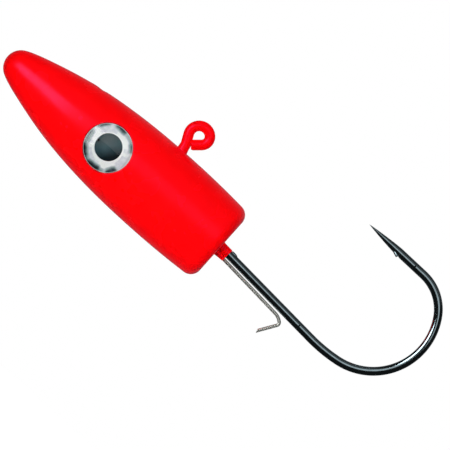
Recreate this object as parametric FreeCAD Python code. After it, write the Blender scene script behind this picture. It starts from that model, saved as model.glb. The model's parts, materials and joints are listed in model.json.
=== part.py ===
"""Cast jig head: a painted lead body on a right-angle jig hook, with a sprung bait keeper and domed eyes.

Row frame, millimetres: the origin is the centre of the line eye, +X runs along the body from its nose
towards the hook, +Z is up on the swimming lure (the line eye and the hook point are both on that side),
and the XZ plane is the plane of symmetry. The nose points to -X, so the lure's left side is -Y.
"""

import FreeCAD, Part
import math
import os

V = FreeCAD.Vector

# Body, over its paint
NOSE_TO_WIDEST = 41.4
WIDEST_TO_FACE = 15.8
BODY_RADIUS = 9.23
NOSE_RADIUS = 3.6
NOSE_SLOPE = 30.0  # degrees between the body's axis and the flank where it leaves the nose's ball
REAR_TAPER = 0.67  # how much smaller the radius is where the flank would meet the rear face
REAR_CORNER = 2.4
# The flank between the nose and the widest point: share of the way back, and share of the radius to gain.
FLANK = ((0.045, 0.130), (0.146, 0.335), (0.308, 0.604), (0.561, 0.867), (0.788, 0.977))

# Paint film
PAINT = 0.15
PAINT_ON_WIRE = 0.12
COLLAR_LENGTH = 2.2  # how far the paint runs out along the wires behind the rear face
COLLAR_FILM = 0.2  # on the shank
COLLAR_ROOT_FILM = 0.32  # on the keeper, at the rear face
COLLAR_TIP_FILM = 0.05  # on the keeper, at the collar's end

# Hook, one round wire
HOOK_WIRE = 1.8
SHANK_DROOP = 3.9  # degrees that the shank falls away from the body's axis
EYE_AHEAD = 17.9  # line eye ahead of the rear face
EYE_STANDOFF = 4.27  # centre of the line eye above the body's widest radius
RING_RADIUS = 2.16  # wire centreline over the top of the eye
RING_LOW_RADIUS = 1.67  # and round its lower rear corner
RING_TAIL_ANGLE = 41.76  # degrees above +X that the wire's straight end slopes at
RING_TAIL_GAP = 0.03  # between that end and the neck that it closes the eye against
RING_TURN = 164.5
NECK_STRAIGHT = 1.95
NECK_BEND = 1.3
NECK_LEAN = 10.0  # degrees that the neck leans forward of square to the body
BURIED_BEND = 3.0
SHANK_LENGTH = 25.6  # rear face to the first of the bend
BEND = ((33.0, 12.2), (13.04, 113.8), (9.4, 56.6))  # radius and turn of each stretch of the bend
SPEAR_LENGTH = 6.7  # end of the bend to the start of the point
POINT_LENGTH = 8.0
POINT_BULGE = 0.08  # how far the point's flank bows outside a plain cone
POINT_RADIUS = 0.04
FORGED_WIDTH = 1.5  # across the forged flats of the bend
FORGED_FROM = 22.0  # rear face to the first of the flats
FORGED_RAMP = 0.5
FORGED_ON_SPEAR = 2.5  # the flats end this far past the end of the bend
BARB_ROOT = 1.4  # where the barb leaves the point, forward of the point's start
BARB_SLIT = 0.5  # how far forward the cut under the barb reaches
BARB_DEPTH = 0.6  # how deep it goes
BARB_BACK = 0.6  # the barb's tip, behind the point's start
BARB_HEIGHT = 0.18  # the tip stands this far out of the wire
BARB_WIDTH = 0.9
NIB_AT = 2.35  # raised nib on the shank, behind the rear face
NIB_LENGTH = 1.5
NIB_HEIGHT = 0.25
NIB_WIDTH = 0.9

# Bait keeper, one spring wire beside the shank
KEEPER_WIRE = 0.7
KEEPER_GAP = 0.15  # clear of the shank where it leaves the collar
KEEPER_SPLAY = 0.65  # degrees that it leaves the shank by
KEEPER_LEG = 14.84  # collar to the first of its bend
KEEPER_BENDS = ((3.0, 38.0), (0.6, 80.5))
SPUR_LENGTH = 4.5  # to its longer edge
SPUR_CUT = 40.0  # degrees that its end is cut off square
ANCHOR_LENGTH = 9.0  # keeper wire inside the body, straight
ANCHOR_BEND = 1.2
ANCHOR_TURN = 75.0
ANCHOR_FOOT = 2.6
FLEX_GAP = 0.06  # between the anchor and the leg that flexes behind the collar

# Stick-on eyes
EYE_BEHIND_NOSE = 27.25
EYE_BELOW_AXIS = 0.35
EYE_DIAMETER = 10.0
SOCKET_CLEARANCE = 0.1
SOCKET_LIP = 0.05  # the floor lies this far inside the lowest part of the socket's rim
ADHESIVE = 0.15
FOIL = 0.10
PUPIL = 0.05
PUPIL_DIAMETER = 5.4
PUPIL_LIFT = 0.2  # printed this far above the eye's centre
DOME_RISE = 1.0
DOME_PROUD = 0.05  # the dome's top stands this far out of the body's flank

# Places that follow from the sizes
BODY_LENGTH = NOSE_TO_WIDEST + WIDEST_TO_FACE
AXIS_Z = -(BODY_RADIUS + EYE_STANDOFF)
FACE_X = EYE_AHEAD
NOSE_X = FACE_X - BODY_LENGTH
HOOK_R = HOOK_WIRE / 2
KEEPER_R = KEEPER_WIRE / 2
KEEPER_DROP = HOOK_R + KEEPER_R + KEEPER_GAP


def heading(degrees):
    """Unit vector in the XZ plane, turned up from +X."""
    return V(math.cos(math.radians(degrees)), 0, math.sin(math.radians(degrees)))


SHANK = heading(-SHANK_DROOP)
SHANK_UP = heading(90 - SHANK_DROOP)
FACE_CENTRE = V(FACE_X, 0, AXIS_Z)


def on_shank(along, up=0.0):
    """A point beside the shank, from where its centreline leaves the rear face."""
    return FACE_CENTRE + SHANK * along + SHANK_UP * up


def walk(start, degrees, moves):
    """Edges of a bent wire's centreline: a move is a straight length, or a radius and a turn (+ is up)."""
    edges = []
    at = start
    for move in moves:
        if isinstance(move, tuple):
            radius, turn = move
            side = math.copysign(1, turn)
            centre = at + heading(degrees + 90 * side) * radius
            middle = centre + heading(degrees + turn / 2 - 90 * side) * radius
            end = centre + heading(degrees + turn - 90 * side) * radius
            edges.append(Part.Arc(at, middle, end).toShape())
            degrees += turn
        else:
            end = at + heading(degrees) * move
            edges.append(Part.LineSegment(at, end).toShape())
        at = end
    return edges, at, degrees


def wire_solid(edges, radius):
    """Round wire of this radius along a smooth run of edges."""
    first = edges[0]
    section = Part.Circle(first.valueAt(first.FirstParameter), first.tangentAt(first.FirstParameter), radius)
    return Part.Wire(edges).makePipeShell([Part.Wire(section.toShape())], True, True)


def rod(start, end, radius, end_radius=None):
    """Straight round bar, or a taper when an end radius is given."""
    axis = end - start
    if end_radius is None:
        return Part.makeCylinder(radius, axis.Length, start, axis)
    return Part.makeCone(radius, end_radius, axis.Length, start, axis)


def block(corners, width):
    """Prism of this width astride the XZ plane, through the corners given."""
    outline = Part.makePolygon([*corners, corners[0]])
    outline.translate(V(0, -width / 2, 0))
    return Part.Face(outline).extrude(V(0, width, 0))


# Body and paint


def flank_points(inset):
    """Points on the flank from the nose's ball back to the widest point, drawn in by an inset."""
    leave = heading(90 + NOSE_SLOPE) * (NOSE_RADIUS - inset)
    first = V(NOSE_X + NOSE_RADIUS, 0, 0) + leave
    widest = V(NOSE_X + NOSE_TO_WIDEST, 0, BODY_RADIUS - inset)
    gain = widest - first
    return [first, *(first + V(gain.x * back, 0, gain.z * up) for back, up in FLANK), widest]


def flank_curve(inset):
    curve = Part.BSplineCurve()
    steep = heading(NOSE_SLOPE)
    curve.interpolate(Points=flank_points(inset), InitialTangent=steep, FinalTangent=V(1, 0, 0))
    return curve


def body_solid(inset):
    """The body turned about its axis, all over smaller by an inset."""
    flank = flank_curve(inset)
    first, widest = flank.StartPoint, flank.EndPoint
    nose = V(NOSE_X + inset, 0, 0)
    ball = V(NOSE_X + NOSE_RADIUS, 0, 0) + heading(135 + NOSE_SLOPE / 2) * (NOSE_RADIUS - inset)
    radius = (WIDEST_TO_FACE**2 + REAR_TAPER**2) / (2 * REAR_TAPER)
    centre_z = widest.z - radius
    rear = V(FACE_X - inset, 0, centre_z + math.sqrt(radius**2 - (WIDEST_TO_FACE - inset) ** 2))
    half = (widest.x + rear.x) / 2
    middle = V(half, 0, centre_z + math.sqrt(radius**2 - (half - widest.x) ** 2))
    outline = Part.Wire([
        Part.Arc(nose, ball, first).toShape(),
        flank.toShape(),
        Part.Arc(widest, middle, rear).toShape(),
        Part.LineSegment(rear, V(rear.x, 0, 0)).toShape(),
        Part.LineSegment(V(rear.x, 0, 0), nose).toShape(),
    ])
    body = Part.Face(outline).revolve(V(0, 0, 0), V(1, 0, 0), 360)
    corner = [e for e in body.Edges if e.BoundBox.XLength < 1e-6 and e.BoundBox.XMin > rear.x - 1e-6]
    body = body.makeFillet(REAR_CORNER - inset, corner)
    body.translate(V(0, 0, AXIS_Z))
    return body


def body_radius_at(x):
    """Outer radius of the painted body at a station between its nose's ball and its widest point."""
    flank = flank_curve(0)
    low, high = flank.FirstParameter, flank.LastParameter
    for _ in range(50):
        half = (low + high) / 2
        if flank.value(half).x < x:
            low = half
        else:
            high = half
    return flank.value(low).z


# Hook


def hook_moves():
    """Start and moves of the hook wire, from the end that closes the line eye to the point's start."""
    neck_heading = NECK_LEAN - 90
    ring_from = heading(RING_TAIL_ANGLE)
    low_start = ring_from * (RING_RADIUS - RING_LOW_RADIUS) + heading(RING_TAIL_ANGLE - 90) * RING_LOW_RADIUS
    # the straight end stops where the near edge of its face comes up to the neck's side
    ring_end = RING_TAIL_ANGLE + RING_TURN
    out = heading(ring_end)
    across = (low_start - out * RING_RADIUS).dot(out * -1)
    lean = math.radians(180 - RING_TURN)
    tail = (across - HOOK_R * (1 + math.sin(lean)) - RING_TAIL_GAP) / math.cos(lean)
    start = low_start - ring_from * tail
    neck_turn = neck_heading + 360 - (ring_end + 90)
    eye_moves = [tail, (RING_LOW_RADIUS, 90.0), (RING_RADIUS, RING_TURN), NECK_STRAIGHT]
    _, neck, _ = walk(start, RING_TAIL_ANGLE, [*eye_moves, (NECK_BEND, neck_turn)])
    # the neck's line meets the shank's line inside the body, where the wire is bent
    way = heading(neck_heading)
    to_face = FACE_CENTRE - neck
    cross = way.x * SHANK.z - way.z * SHANK.x
    neck_run = (to_face.x * SHANK.z - to_face.z * SHANK.x) / cross
    corner = neck + way * neck_run
    buried_turn = -SHANK_DROOP - neck_heading
    cut = BURIED_BEND * math.tan(math.radians(buried_turn / 2))
    shank_run = (FACE_CENTRE - corner).Length - cut + SHANK_LENGTH
    moves = [
        *eye_moves,
        (NECK_BEND, neck_turn),
        neck_run - cut,
        (BURIED_BEND, buried_turn),
        shank_run,
        *BEND,
        SPEAR_LENGTH,
    ]
    return start, moves


def forged_trim(bend_end, spear_heading):
    """What forging takes off the two sides of the bend: slabs outside the flats, ramped at the start."""
    reach = HOOK_WIRE
    far = SHANK_LENGTH + sum(radius for radius, _ in BEND)
    high = bend_end + heading(spear_heading) * FORGED_ON_SPEAR
    over = heading(spear_heading - 90) * reach
    window = block(
        [
            on_shank(FORGED_FROM, -reach),
            on_shank(far, -reach),
            high + over + SHANK * far,
            high + over,
            high - over,
            on_shank(FORGED_FROM, reach),
        ],
        2 * reach,
    )
    half = FORGED_WIDTH / 2
    ramp_end = FORGED_FROM + FORGED_RAMP
    keep = Part.makePolygon([
        V(FORGED_FROM, -reach, 0),
        V(FORGED_FROM, reach, 0),
        V(ramp_end, half, 0),
        V(2 * far, half, 0),
        V(2 * far, -half, 0),
        V(ramp_end, -half, 0),
        V(FORGED_FROM, -reach, 0),
    ])
    keep = Part.Face(keep).extrude(V(0, 0, 4 * far))
    keep.translate(V(0, 0, -2 * far))
    keep.rotate(V(0, 0, 0), V(0, 1, 0), SHANK_DROOP)
    keep.translate(FACE_CENTRE)
    return window.cut(keep)


def make_point(start, degrees):
    """Needle point: a slightly bowed flank turned about the end of the wire's line."""
    way = heading(degrees)
    out = heading(degrees + 90)
    base = start + out * HOOK_R
    end = start + way * POINT_LENGTH
    tip = end + out * POINT_RADIUS
    middle = (base + tip) * 0.5 + out * POINT_BULGE
    outline = [
        Part.Arc(base, middle, tip).toShape(),
        Part.LineSegment(tip, end).toShape(),
        Part.LineSegment(end, start).toShape(),
        Part.LineSegment(start, base).toShape(),
    ]
    return Part.Face(Part.Wire(outline)).revolve(start, way, 360)


def barb_shapes(start, degrees):
    """The chisel's slit on the shank's side of the point, and the sliver it raised as the barb."""
    way = heading(degrees)
    inward = heading(degrees + 90)

    def at(along, up):
        return start + way * along + inward * up

    apex = at(BARB_SLIT, HOOK_R - BARB_DEPTH)
    tip = at(-BARB_BACK, HOOK_R + BARB_HEIGHT)
    slit = block([apex, at(-2 * BARB_BACK, HOOK_R), at(-2 * BARB_BACK, HOOK_R + BARB_DEPTH), tip], HOOK_WIRE)
    shoulder = HOOK_R * (1 - BARB_ROOT / POINT_LENGTH)
    barb = block([apex, tip, at(BARB_ROOT, shoulder), at(BARB_ROOT, HOOK_R / 2)], BARB_WIDTH)
    return slit, barb


def make_hook():
    start, moves = hook_moves()
    edges, spear_end, spear_heading = walk(start, RING_TAIL_ANGLE, moves)
    _, bend_end, _ = walk(start, RING_TAIL_ANGLE, moves[:-1])
    hook = wire_solid(edges, HOOK_R).cut(forged_trim(bend_end, spear_heading))
    hook = hook.fuse(make_point(spear_end, spear_heading))
    slit, barb = barb_shapes(spear_end, spear_heading)
    nib = block(
        [
            on_shank(NIB_AT, HOOK_R / 2),
            on_shank(NIB_AT, HOOK_R + NIB_HEIGHT * 0.7),
            on_shank(NIB_AT + NIB_LENGTH / 3, HOOK_R + NIB_HEIGHT),
            on_shank(NIB_AT + NIB_LENGTH, HOOK_R - 0.05),
            on_shank(NIB_AT + NIB_LENGTH, HOOK_R / 2),
        ],
        NIB_WIDTH,
    )
    return hook.cut(slit).fuse([barb, nib])


# Keeper


def keeper_at(along):
    """A point on the keeper's centreline beside the shank, measured from the end of the collar."""
    leave = on_shank(COLLAR_LENGTH, -KEEPER_DROP)
    return leave + heading(-SHANK_DROOP - KEEPER_SPLAY) * along


def make_keeper_anchor():
    """The still end of the keeper wire: through the collar and into the body, ending in a bent foot."""
    way = -SHANK_DROOP - KEEPER_SPLAY + 180
    moves = [COLLAR_LENGTH + ANCHOR_LENGTH, (ANCHOR_BEND, ANCHOR_TURN), ANCHOR_FOOT]
    edges, _, _ = walk(keeper_at(0), way, moves)
    return wire_solid(edges, KEEPER_R)


def make_keeper_leg():
    """The springy end: along the shank, then back on itself in a spur that holds the soft bait."""
    moves = [KEEPER_LEG, *((radius, -turn) for radius, turn in KEEPER_BENDS), SPUR_LENGTH]
    edges, tip, way = walk(keeper_at(FLEX_GAP), -SHANK_DROOP - KEEPER_SPLAY, moves)
    leg = wire_solid(edges, KEEPER_R)
    lip = tip - heading(way - 90) * KEEPER_R
    slant = heading(way - 90 - SPUR_CUT)
    beyond = heading(way) * KEEPER_WIRE * 3
    near = lip - slant * KEEPER_WIRE
    far = lip + slant * KEEPER_WIRE * 3
    return leg.cut(block([near, far, far + beyond, near + beyond], 3 * KEEPER_WIRE))


# Eyes


def eye_at(side, out, lift=0.0):
    """A point on an eye's own axis, this far from the plane of symmetry, or lifted above that axis."""
    return V(NOSE_X + EYE_BEHIND_NOSE, side * out, AXIS_Z - EYE_BELOW_AXIS + lift)


def eye_cylinder(side, radius, floor, height, lift=0.0):
    """Disc square to Y, from a floor outwards, on the left (side -1) or the right (side 1)."""
    return Part.makeCylinder(radius, height, eye_at(side, floor, lift), V(0, side, 0))


def socket_floor():
    """Distance of the socket's floor from the plane of symmetry: just inside the lowest part of its rim."""
    radius = EYE_DIAMETER / 2 + SOCKET_CLEARANCE
    rim = []
    for degrees in range(180, 271, 3):
        out = heading(degrees) * radius
        rim.append(body_radius_at(NOSE_X + EYE_BEHIND_NOSE + out.x) ** 2 - (EYE_BELOW_AXIS - out.z) ** 2)
    return math.sqrt(min(rim)) - SOCKET_LIP


def make_dome(side, floor):
    """Clear cap: a short upright edge under a spherical crown, hollowed underneath for the pupil."""
    radius = EYE_DIAMETER / 2
    crown = (radius**2 + DOME_RISE**2) / (2 * DOME_RISE)
    top = body_radius_at(NOSE_X + EYE_BEHIND_NOSE) + DOME_PROUD
    blank = eye_cylinder(side, radius, floor, top - floor)
    dome = blank.common(Part.makeSphere(crown, eye_at(side, top - crown)))
    return dome.cut(eye_cylinder(side, PUPIL_DIAMETER / 2, floor, PUPIL, PUPIL_LIFT))


def make_eye(side):
    """The layers of one eye, from the socket's floor outwards."""
    floor = socket_floor()
    radius = EYE_DIAMETER / 2
    printed = floor + ADHESIVE + FOIL
    return {
        "adhesive": eye_cylinder(side, radius, floor, ADHESIVE),
        "foil": eye_cylinder(side, radius, floor + ADHESIVE, FOIL),
        "pupil": eye_cylinder(side, PUPIL_DIAMETER / 2, printed, PUPIL, PUPIL_LIFT),
        "dome": make_dome(side, printed),
    }


def sockets(extra):
    """Both eye sockets, each bigger by an extra all round and underneath."""
    radius = EYE_DIAMETER / 2 + SOCKET_CLEARANCE + extra
    floor = socket_floor() - extra
    return [eye_cylinder(side, radius, floor, BODY_RADIUS) for side in (-1, 1)]


# Paint


def collar():
    """Paint drawn out along the shank and the keeper, square across its end."""
    buried = on_shank(-KEEPER_WIRE)
    shank = rod(buried, on_shank(COLLAR_LENGTH), HOOK_R + COLLAR_FILM)
    root = keeper_at(-COLLAR_LENGTH - KEEPER_WIRE)
    keeper = rod(root, keeper_at(0), KEEPER_R + COLLAR_ROOT_FILM, KEEPER_R + COLLAR_TIP_FILM)
    return shank.fuse(keeper)


def eye_paint():
    """Paint round the line eye, closed over its straight end, and round its neck down into the body."""
    start, moves = hook_moves()
    start -= heading(RING_TAIL_ANGLE) * PAINT_ON_WIRE
    edges, _, _ = walk(start, RING_TAIL_ANGLE, [moves[0] + PAINT_ON_WIRE, *moves[1:6]])
    return [wire_solid(run, HOOK_R + PAINT_ON_WIRE) for run in (edges[:3], edges[3:])]


def make_paint(core, hook, anchor):
    """One film over the body, its sockets, the line eye and the roots of both wires."""
    skin = body_solid(0).fuse([*eye_paint(), collar()])
    return skin.cut([core, hook, anchor, *sockets(0)])


def build():
    hook = make_hook()
    anchor = make_keeper_anchor()
    core = body_solid(PAINT).cut(sockets(PAINT))
    nodes = {
        "lead_head": core.cut([hook, anchor]),
        "paint_coat": make_paint(core, hook, anchor),
        "hook": hook,
        "keeper_anchor": anchor,
        "keeper_leg": make_keeper_leg(),
    }
    for side, name in ((-1, "left"), (1, "right")):
        for layer, shape in make_eye(side).items():
            nodes[f"{name}_eye_{layer}"] = shape
    return nodes


def main():
    os.makedirs("parts", exist_ok=True)
    for name, shape in build().items():
        solids = shape.Solids
        if len(solids) != 1 or not shape.isValid():
            raise RuntimeError(f"{name} came out as {len(solids)} solids")
        solids[0].exportStep(f"parts/{name}.step")
        print(f"{name}: {solids[0].Volume:.3f} mm3")


main()
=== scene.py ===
"""Looks for a cast jig head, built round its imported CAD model: glossy paint, black nickel hook, spring wire
keeper and domed foil eyes, on a plain studio stage. Lengths in the sidebar's properties are metres, as in the
frame. The shape functions work in millimetres, and make_piece turns them back."""

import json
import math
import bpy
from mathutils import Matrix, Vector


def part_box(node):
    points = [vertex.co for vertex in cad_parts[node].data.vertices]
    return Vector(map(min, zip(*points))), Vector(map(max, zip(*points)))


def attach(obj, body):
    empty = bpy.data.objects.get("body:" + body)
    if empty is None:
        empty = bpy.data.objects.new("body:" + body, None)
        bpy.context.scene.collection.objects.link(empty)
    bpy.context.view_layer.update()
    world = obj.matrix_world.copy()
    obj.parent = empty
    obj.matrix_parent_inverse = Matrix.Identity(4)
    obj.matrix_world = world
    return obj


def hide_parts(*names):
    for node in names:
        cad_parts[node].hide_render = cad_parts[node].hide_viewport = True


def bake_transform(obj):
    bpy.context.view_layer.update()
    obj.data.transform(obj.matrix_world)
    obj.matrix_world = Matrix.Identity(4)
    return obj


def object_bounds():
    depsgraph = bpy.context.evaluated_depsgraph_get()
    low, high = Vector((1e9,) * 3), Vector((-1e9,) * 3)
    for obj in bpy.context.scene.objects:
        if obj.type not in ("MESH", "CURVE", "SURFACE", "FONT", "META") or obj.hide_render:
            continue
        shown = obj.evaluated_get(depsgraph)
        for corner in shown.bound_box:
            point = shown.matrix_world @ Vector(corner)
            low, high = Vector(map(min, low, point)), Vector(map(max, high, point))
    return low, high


bl_info = {
    "name": "Jig head looks",
    "version": (1, 0, 0),
    "blender": (4, 5, 0),
    "location": "3D View > Sidebar > Jig head",
    "description": "Builds the painted head, hook, keeper, eyes and stage of a cast jig head",
    "category": "Object",
}

from types import SimpleNamespace

import bmesh
import bpy
import numpy as np
from bpy.props import FloatProperty, FloatVectorProperty, PointerProperty
from mathutils import Matrix, Vector

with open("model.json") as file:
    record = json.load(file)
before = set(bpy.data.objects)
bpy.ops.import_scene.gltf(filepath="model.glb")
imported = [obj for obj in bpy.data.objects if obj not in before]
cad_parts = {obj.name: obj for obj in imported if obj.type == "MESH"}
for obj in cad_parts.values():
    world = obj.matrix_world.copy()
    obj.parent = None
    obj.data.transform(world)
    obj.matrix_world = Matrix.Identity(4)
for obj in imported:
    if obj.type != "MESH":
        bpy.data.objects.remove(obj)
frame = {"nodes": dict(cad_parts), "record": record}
CAD_LOW, CAD_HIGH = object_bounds()
RECORD = frame["record"]
MM = 0.001


def linear(hexed):
    """A colour written as sRGB hex, as linear red, green and blue: each channel undoes the sRGB curve."""
    shares = [int(hexed[k : k + 2], 16) / 255 for k in (0, 2, 4)]
    return tuple(c / 12.92 if c <= 0.04045 else ((c + 0.055) / 1.055) ** 2.4 for c in shares)


def mount(name):
    """Where a mount of the record is, in mm."""
    return next(np.array(m["pos_m"]) for m in RECORD["mounts"] if m["name"] == name) / MM


SEAT = mount("bait_seat")
NOSE_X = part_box("paint_coat")[0].x / MM
LEFT_EYE = (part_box("left_eye_dome")[0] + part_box("left_eye_dome")[1]) / 2 / MM
EYE_RADIUS = (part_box("left_eye_dome")[1].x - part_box("left_eye_dome")[0].x) / 2 / MM
PUPIL_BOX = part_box("left_eye_pupil")
EYE_FLOOR = -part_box("left_eye_adhesive")[1].y / MM
FOIL_TOP = -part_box("left_eye_foil")[0].y / MM
DOME_TOP = -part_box("left_eye_dome")[0].y / MM
BODY_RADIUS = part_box("paint_coat")[1].y / MM


# Sizes and colours that can be changed


def distance(name, description, millimetres):
    return FloatProperty(
        name=name,
        description=description,
        default=millimetres * MM,
        min=0.0,
        max=0.2,
        precision=5,
        subtype="DISTANCE",
    )


def colour(name, description, hexed):
    return FloatVectorProperty(
        name=name,
        description=description,
        default=linear(hexed),
        min=0.0,
        max=1.0,
        size=3,
        subtype="COLOR",
    )


class JigBodySizes(bpy.types.PropertyGroup):
    """Sizes of the painted head, the eye sockets and the paint on the wires"""

    nose_radius: distance("Nose radius", "Radius of the ball at the nose", 3.6)
    nose_slope: FloatProperty(
        name="Nose slope",
        description="Angle between the axis and the flank where it leaves the nose",
        default=math.radians(30),
        min=0.0,
        max=math.radians(60),
        subtype="ANGLE",
    )
    nose_to_widest: distance("Nose to widest", "Nose to the widest point", 41.4)
    rear_taper: distance("Rear taper", "How much smaller the radius is at the rear face", 0.67)
    rear_corner: distance("Rear corner", "Rounding of the rear edge", 2.4)
    socket_gap: distance("Socket gap", "Gap between an eye and its socket", 0.1)
    socket_round: distance("Socket rounding", "How far the paint rounds over into a socket", 0.14)
    sprue_depth: distance("Sprue mark", "Depth of the trimmed casting gate on the back", 0.11)
    paint_on_wire: distance("Paint on wire", "Paint film round the line eye", 0.18)
    collar_length: distance("Collar", "Paint run out along the wires behind the head", 2.2)
    meniscus: distance("Meniscus", "How far the paint climbs a wire where it leaves the head", 0.12)


class JigWireSizes(bpy.types.PropertyGroup):
    """Sizes of the hook and the bait keeper"""

    hook_wire: distance("Hook wire", "Diameter of the hook wire", 1.79)
    forged_width: distance("Forged width", "Across the forged flats of the bend", 1.5)
    point_length: distance("Point", "Length of the needle point", 8.0)
    keeper_wire: distance("Keeper wire", "Diameter of the keeper wire", 0.7)
    keeper_leg: distance("Keeper leg", "Collar to the first of the keeper's bend", 14.84)
    spur: distance("Spur", "Length of the keeper's spur", 4.5)


class JigFinishes(bpy.types.PropertyGroup):
    """Colours of the pieces and the floor"""

    paint: colour("Paint", "Fluorescent red topcoat", "FF0509")
    # painted shade: a darker red laid where the wires leave the head and on the collar's lower side, in place
    # of shade there
    paint_deep: colour("Painted shade", "Painted shade where the wires leave the head and under the collar", "8E0006")
    nickel: colour("Black nickel", "Plating on the hook", "C8E0E8")
    spring: colour("Spring wire", "Drawn stainless keeper wire", "E4E6DE")
    foil: colour("Foil", "Silver foil of the eyes", "E6ECEA")
    pupil: colour("Pupil", "Printed pupil ink", "2A454C")
    lead: colour("Lead", "Cast lead alloy under the paint", "6E7276")
    floor: colour("Floor", "Plain pale floor", "F4F4F4")


def in_mm(group):
    """A group's sizes by name: its lengths in mm, and an angle in radians as it is."""
    kinds = {field: group.bl_rna.properties[field].subtype for field in group.__annotations__}
    return SimpleNamespace(**{
        field: getattr(group, field) / (MM if kind == "DISTANCE" else 1.0) for field, kind in kinds.items()
    })


# Surfaces


def heading(degrees):
    """Unit step in the plane of symmetry, as x + i z, turned up from +X."""
    return np.exp(1j * np.radians(degrees))


def bent_line(start, degrees, moves, step):
    """Middle line of a bent wire: a move is a straight length, or a radius and a turn (+ is up).
    Returns the points as x + i z, the way they face in radians and the length so far, as arrays."""
    at, line, way, run, so_far = start, [], [], [], 0.0
    for move in moves:
        straight = not isinstance(move, tuple)
        length = move if straight else move[0] * math.radians(abs(move[1]))
        turn = 0.0 if straight else move[1]
        steps = max(2, math.ceil(length / step), math.ceil(abs(turn) / 4))
        share = np.linspace(0, 1, steps + 1)
        facing = np.radians(degrees + turn * share)
        if straight:
            points = at + heading(degrees) * length * share
        else:
            side = math.copysign(1, turn)
            centre = at + heading(degrees + 90 * side) * move[0]
            points = centre + move[0] * np.exp(1j * (facing - side * math.pi / 2))
        first = 0 if not line else 1
        line.append(points[first:])
        way.append(facing[first:])
        run.append(so_far + length * share[first:])
        at, degrees, so_far = points[-1], degrees + turn, so_far + length
    return np.concatenate(line), np.concatenate(way), np.concatenate(run)


def carried(line, way, wide, high, ahead=0.0):
    """A profile carried along a line: each point is the line's point, plus high along the line's normal
    within the plane of symmetry, plus wide across that plane, plus ahead along the line."""
    at = line[:, None] + np.exp(1j * way)[:, None] * (1j * high + ahead)
    return np.stack([at.real, np.broadcast_to(wide, at.shape), at.imag], -1)


def round_ring(columns):
    """Cosine and sine once round a circle, the last step in the place of the first."""
    angle = np.linspace(0, 2 * math.pi, columns + 1)
    return np.cos(angle), np.sin(angle)


def capped(grid):
    """A carried profile with both its ends drawn in to their middles, so that it closes."""
    ends = [grid[k, :-1].mean(0) for k in (0, -1)]
    rim = [grid[k] * 0.985 + e * 0.015 for k, e in zip((0, -1), ends)]
    middles = [np.broadcast_to(e, grid[0].shape) for e in ends]
    return np.concatenate([[middles[0]], [rim[0]], grid, [rim[1]], [middles[1]]])


def weld(grids):
    """Points of all the grids, with those in one place made one, and the faces between neighbours:
    four-cornered, or three-cornered where a row closes to a point."""
    faces = []
    first = 0
    for grid in grids:
        rows, columns = grid.shape[:2]
        index = np.arange(rows * columns).reshape(rows, columns) + first
        cells = [index[:-1, :-1], index[:-1, 1:], index[1:, 1:], index[1:, :-1]]
        faces.append(np.stack(cells, -1).reshape(-1, 4))
        first += rows * columns
    points = np.concatenate([g.reshape(-1, 3) for g in grids])
    _, kept, same = np.unique(np.round(points, 4), axis=0, return_index=True, return_inverse=True)
    quads = same.reshape(-1)[np.concatenate(faces)]
    differs = quads != np.roll(quads, 1, axis=1)
    corners = differs.sum(1)
    four = quads[corners == 4]
    three = quads[corners == 3][differs[corners == 3]].reshape(-1, 3)
    return points[kept], four.tolist() + three.tolist(), kept


def make_piece(name, grids, marks=None):
    """A closed mesh object from grids of points in mm, faces outwards, with marks as point attributes."""
    points, faces, kept = weld(grids)
    mesh = bpy.data.meshes.new(name)
    mesh.from_pydata((points * MM).tolist(), [], faces)
    for mark, values in (marks or {}).items():
        flat = np.concatenate([v.reshape(-1, *v.shape[2:]) for v in values])[kept]
        kind, field = ("FLOAT_VECTOR", "vector") if flat.ndim == 2 else ("FLOAT", "value")
        mesh.attributes.new(mark, kind, "POINT").data.foreach_set(field, flat.astype(np.float32).ravel())
    work = bmesh.new()
    work.from_mesh(mesh)
    bmesh.ops.recalc_face_normals(work, faces=work.faces)
    work.to_mesh(mesh)
    work.free()
    mesh.polygons.foreach_set("use_smooth", [True] * len(mesh.polygons))
    piece = bpy.data.objects.new(name, mesh)
    bpy.context.scene.collection.objects.link(piece)
    return piece


def finish_piece(piece, material, slot, body, *nodes):
    """Gives a piece its material, its body and the CAD nodes that it stands for; the record slot is not used.
    """
    piece.data.materials.append(material)
    if body:
        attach(piece, body)
    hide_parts(*nodes)


# Materials


def node(tree, kind, settings=None, links=None, **fields):
    """Adds a node: fields are its own choices, settings its sockets' values, links the outputs they take."""
    made = tree.nodes.new(kind)
    for field, value in fields.items():
        setattr(made, field, value)
    for socket, value in (settings or {}).items():
        made.inputs[socket].default_value = value
    for socket, output in (links or {}).items():
        tree.links.new(output, made.inputs[socket])
    return made


def new_material(name):
    """An empty node material, with the output for its shader."""
    material = bpy.data.materials.new(name)
    material.use_nodes = True
    material.node_tree.nodes.clear()
    return material, material.node_tree, material.node_tree.nodes.new("ShaderNodeOutputMaterial")


def rgba(c):
    return (*c, 1.0)


def ramp(tree, factor, stops):
    """A colour ramp through stops of position and linear colour."""
    made = node(tree, "ShaderNodeValToRGB", links={"Fac": factor})
    row = made.color_ramp.elements
    for k, (place, shade) in enumerate(stops):
        element = row[k] if k < 2 else row.new(place)
        element.position = place
        element.color = rgba(shade)
    return made


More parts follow.
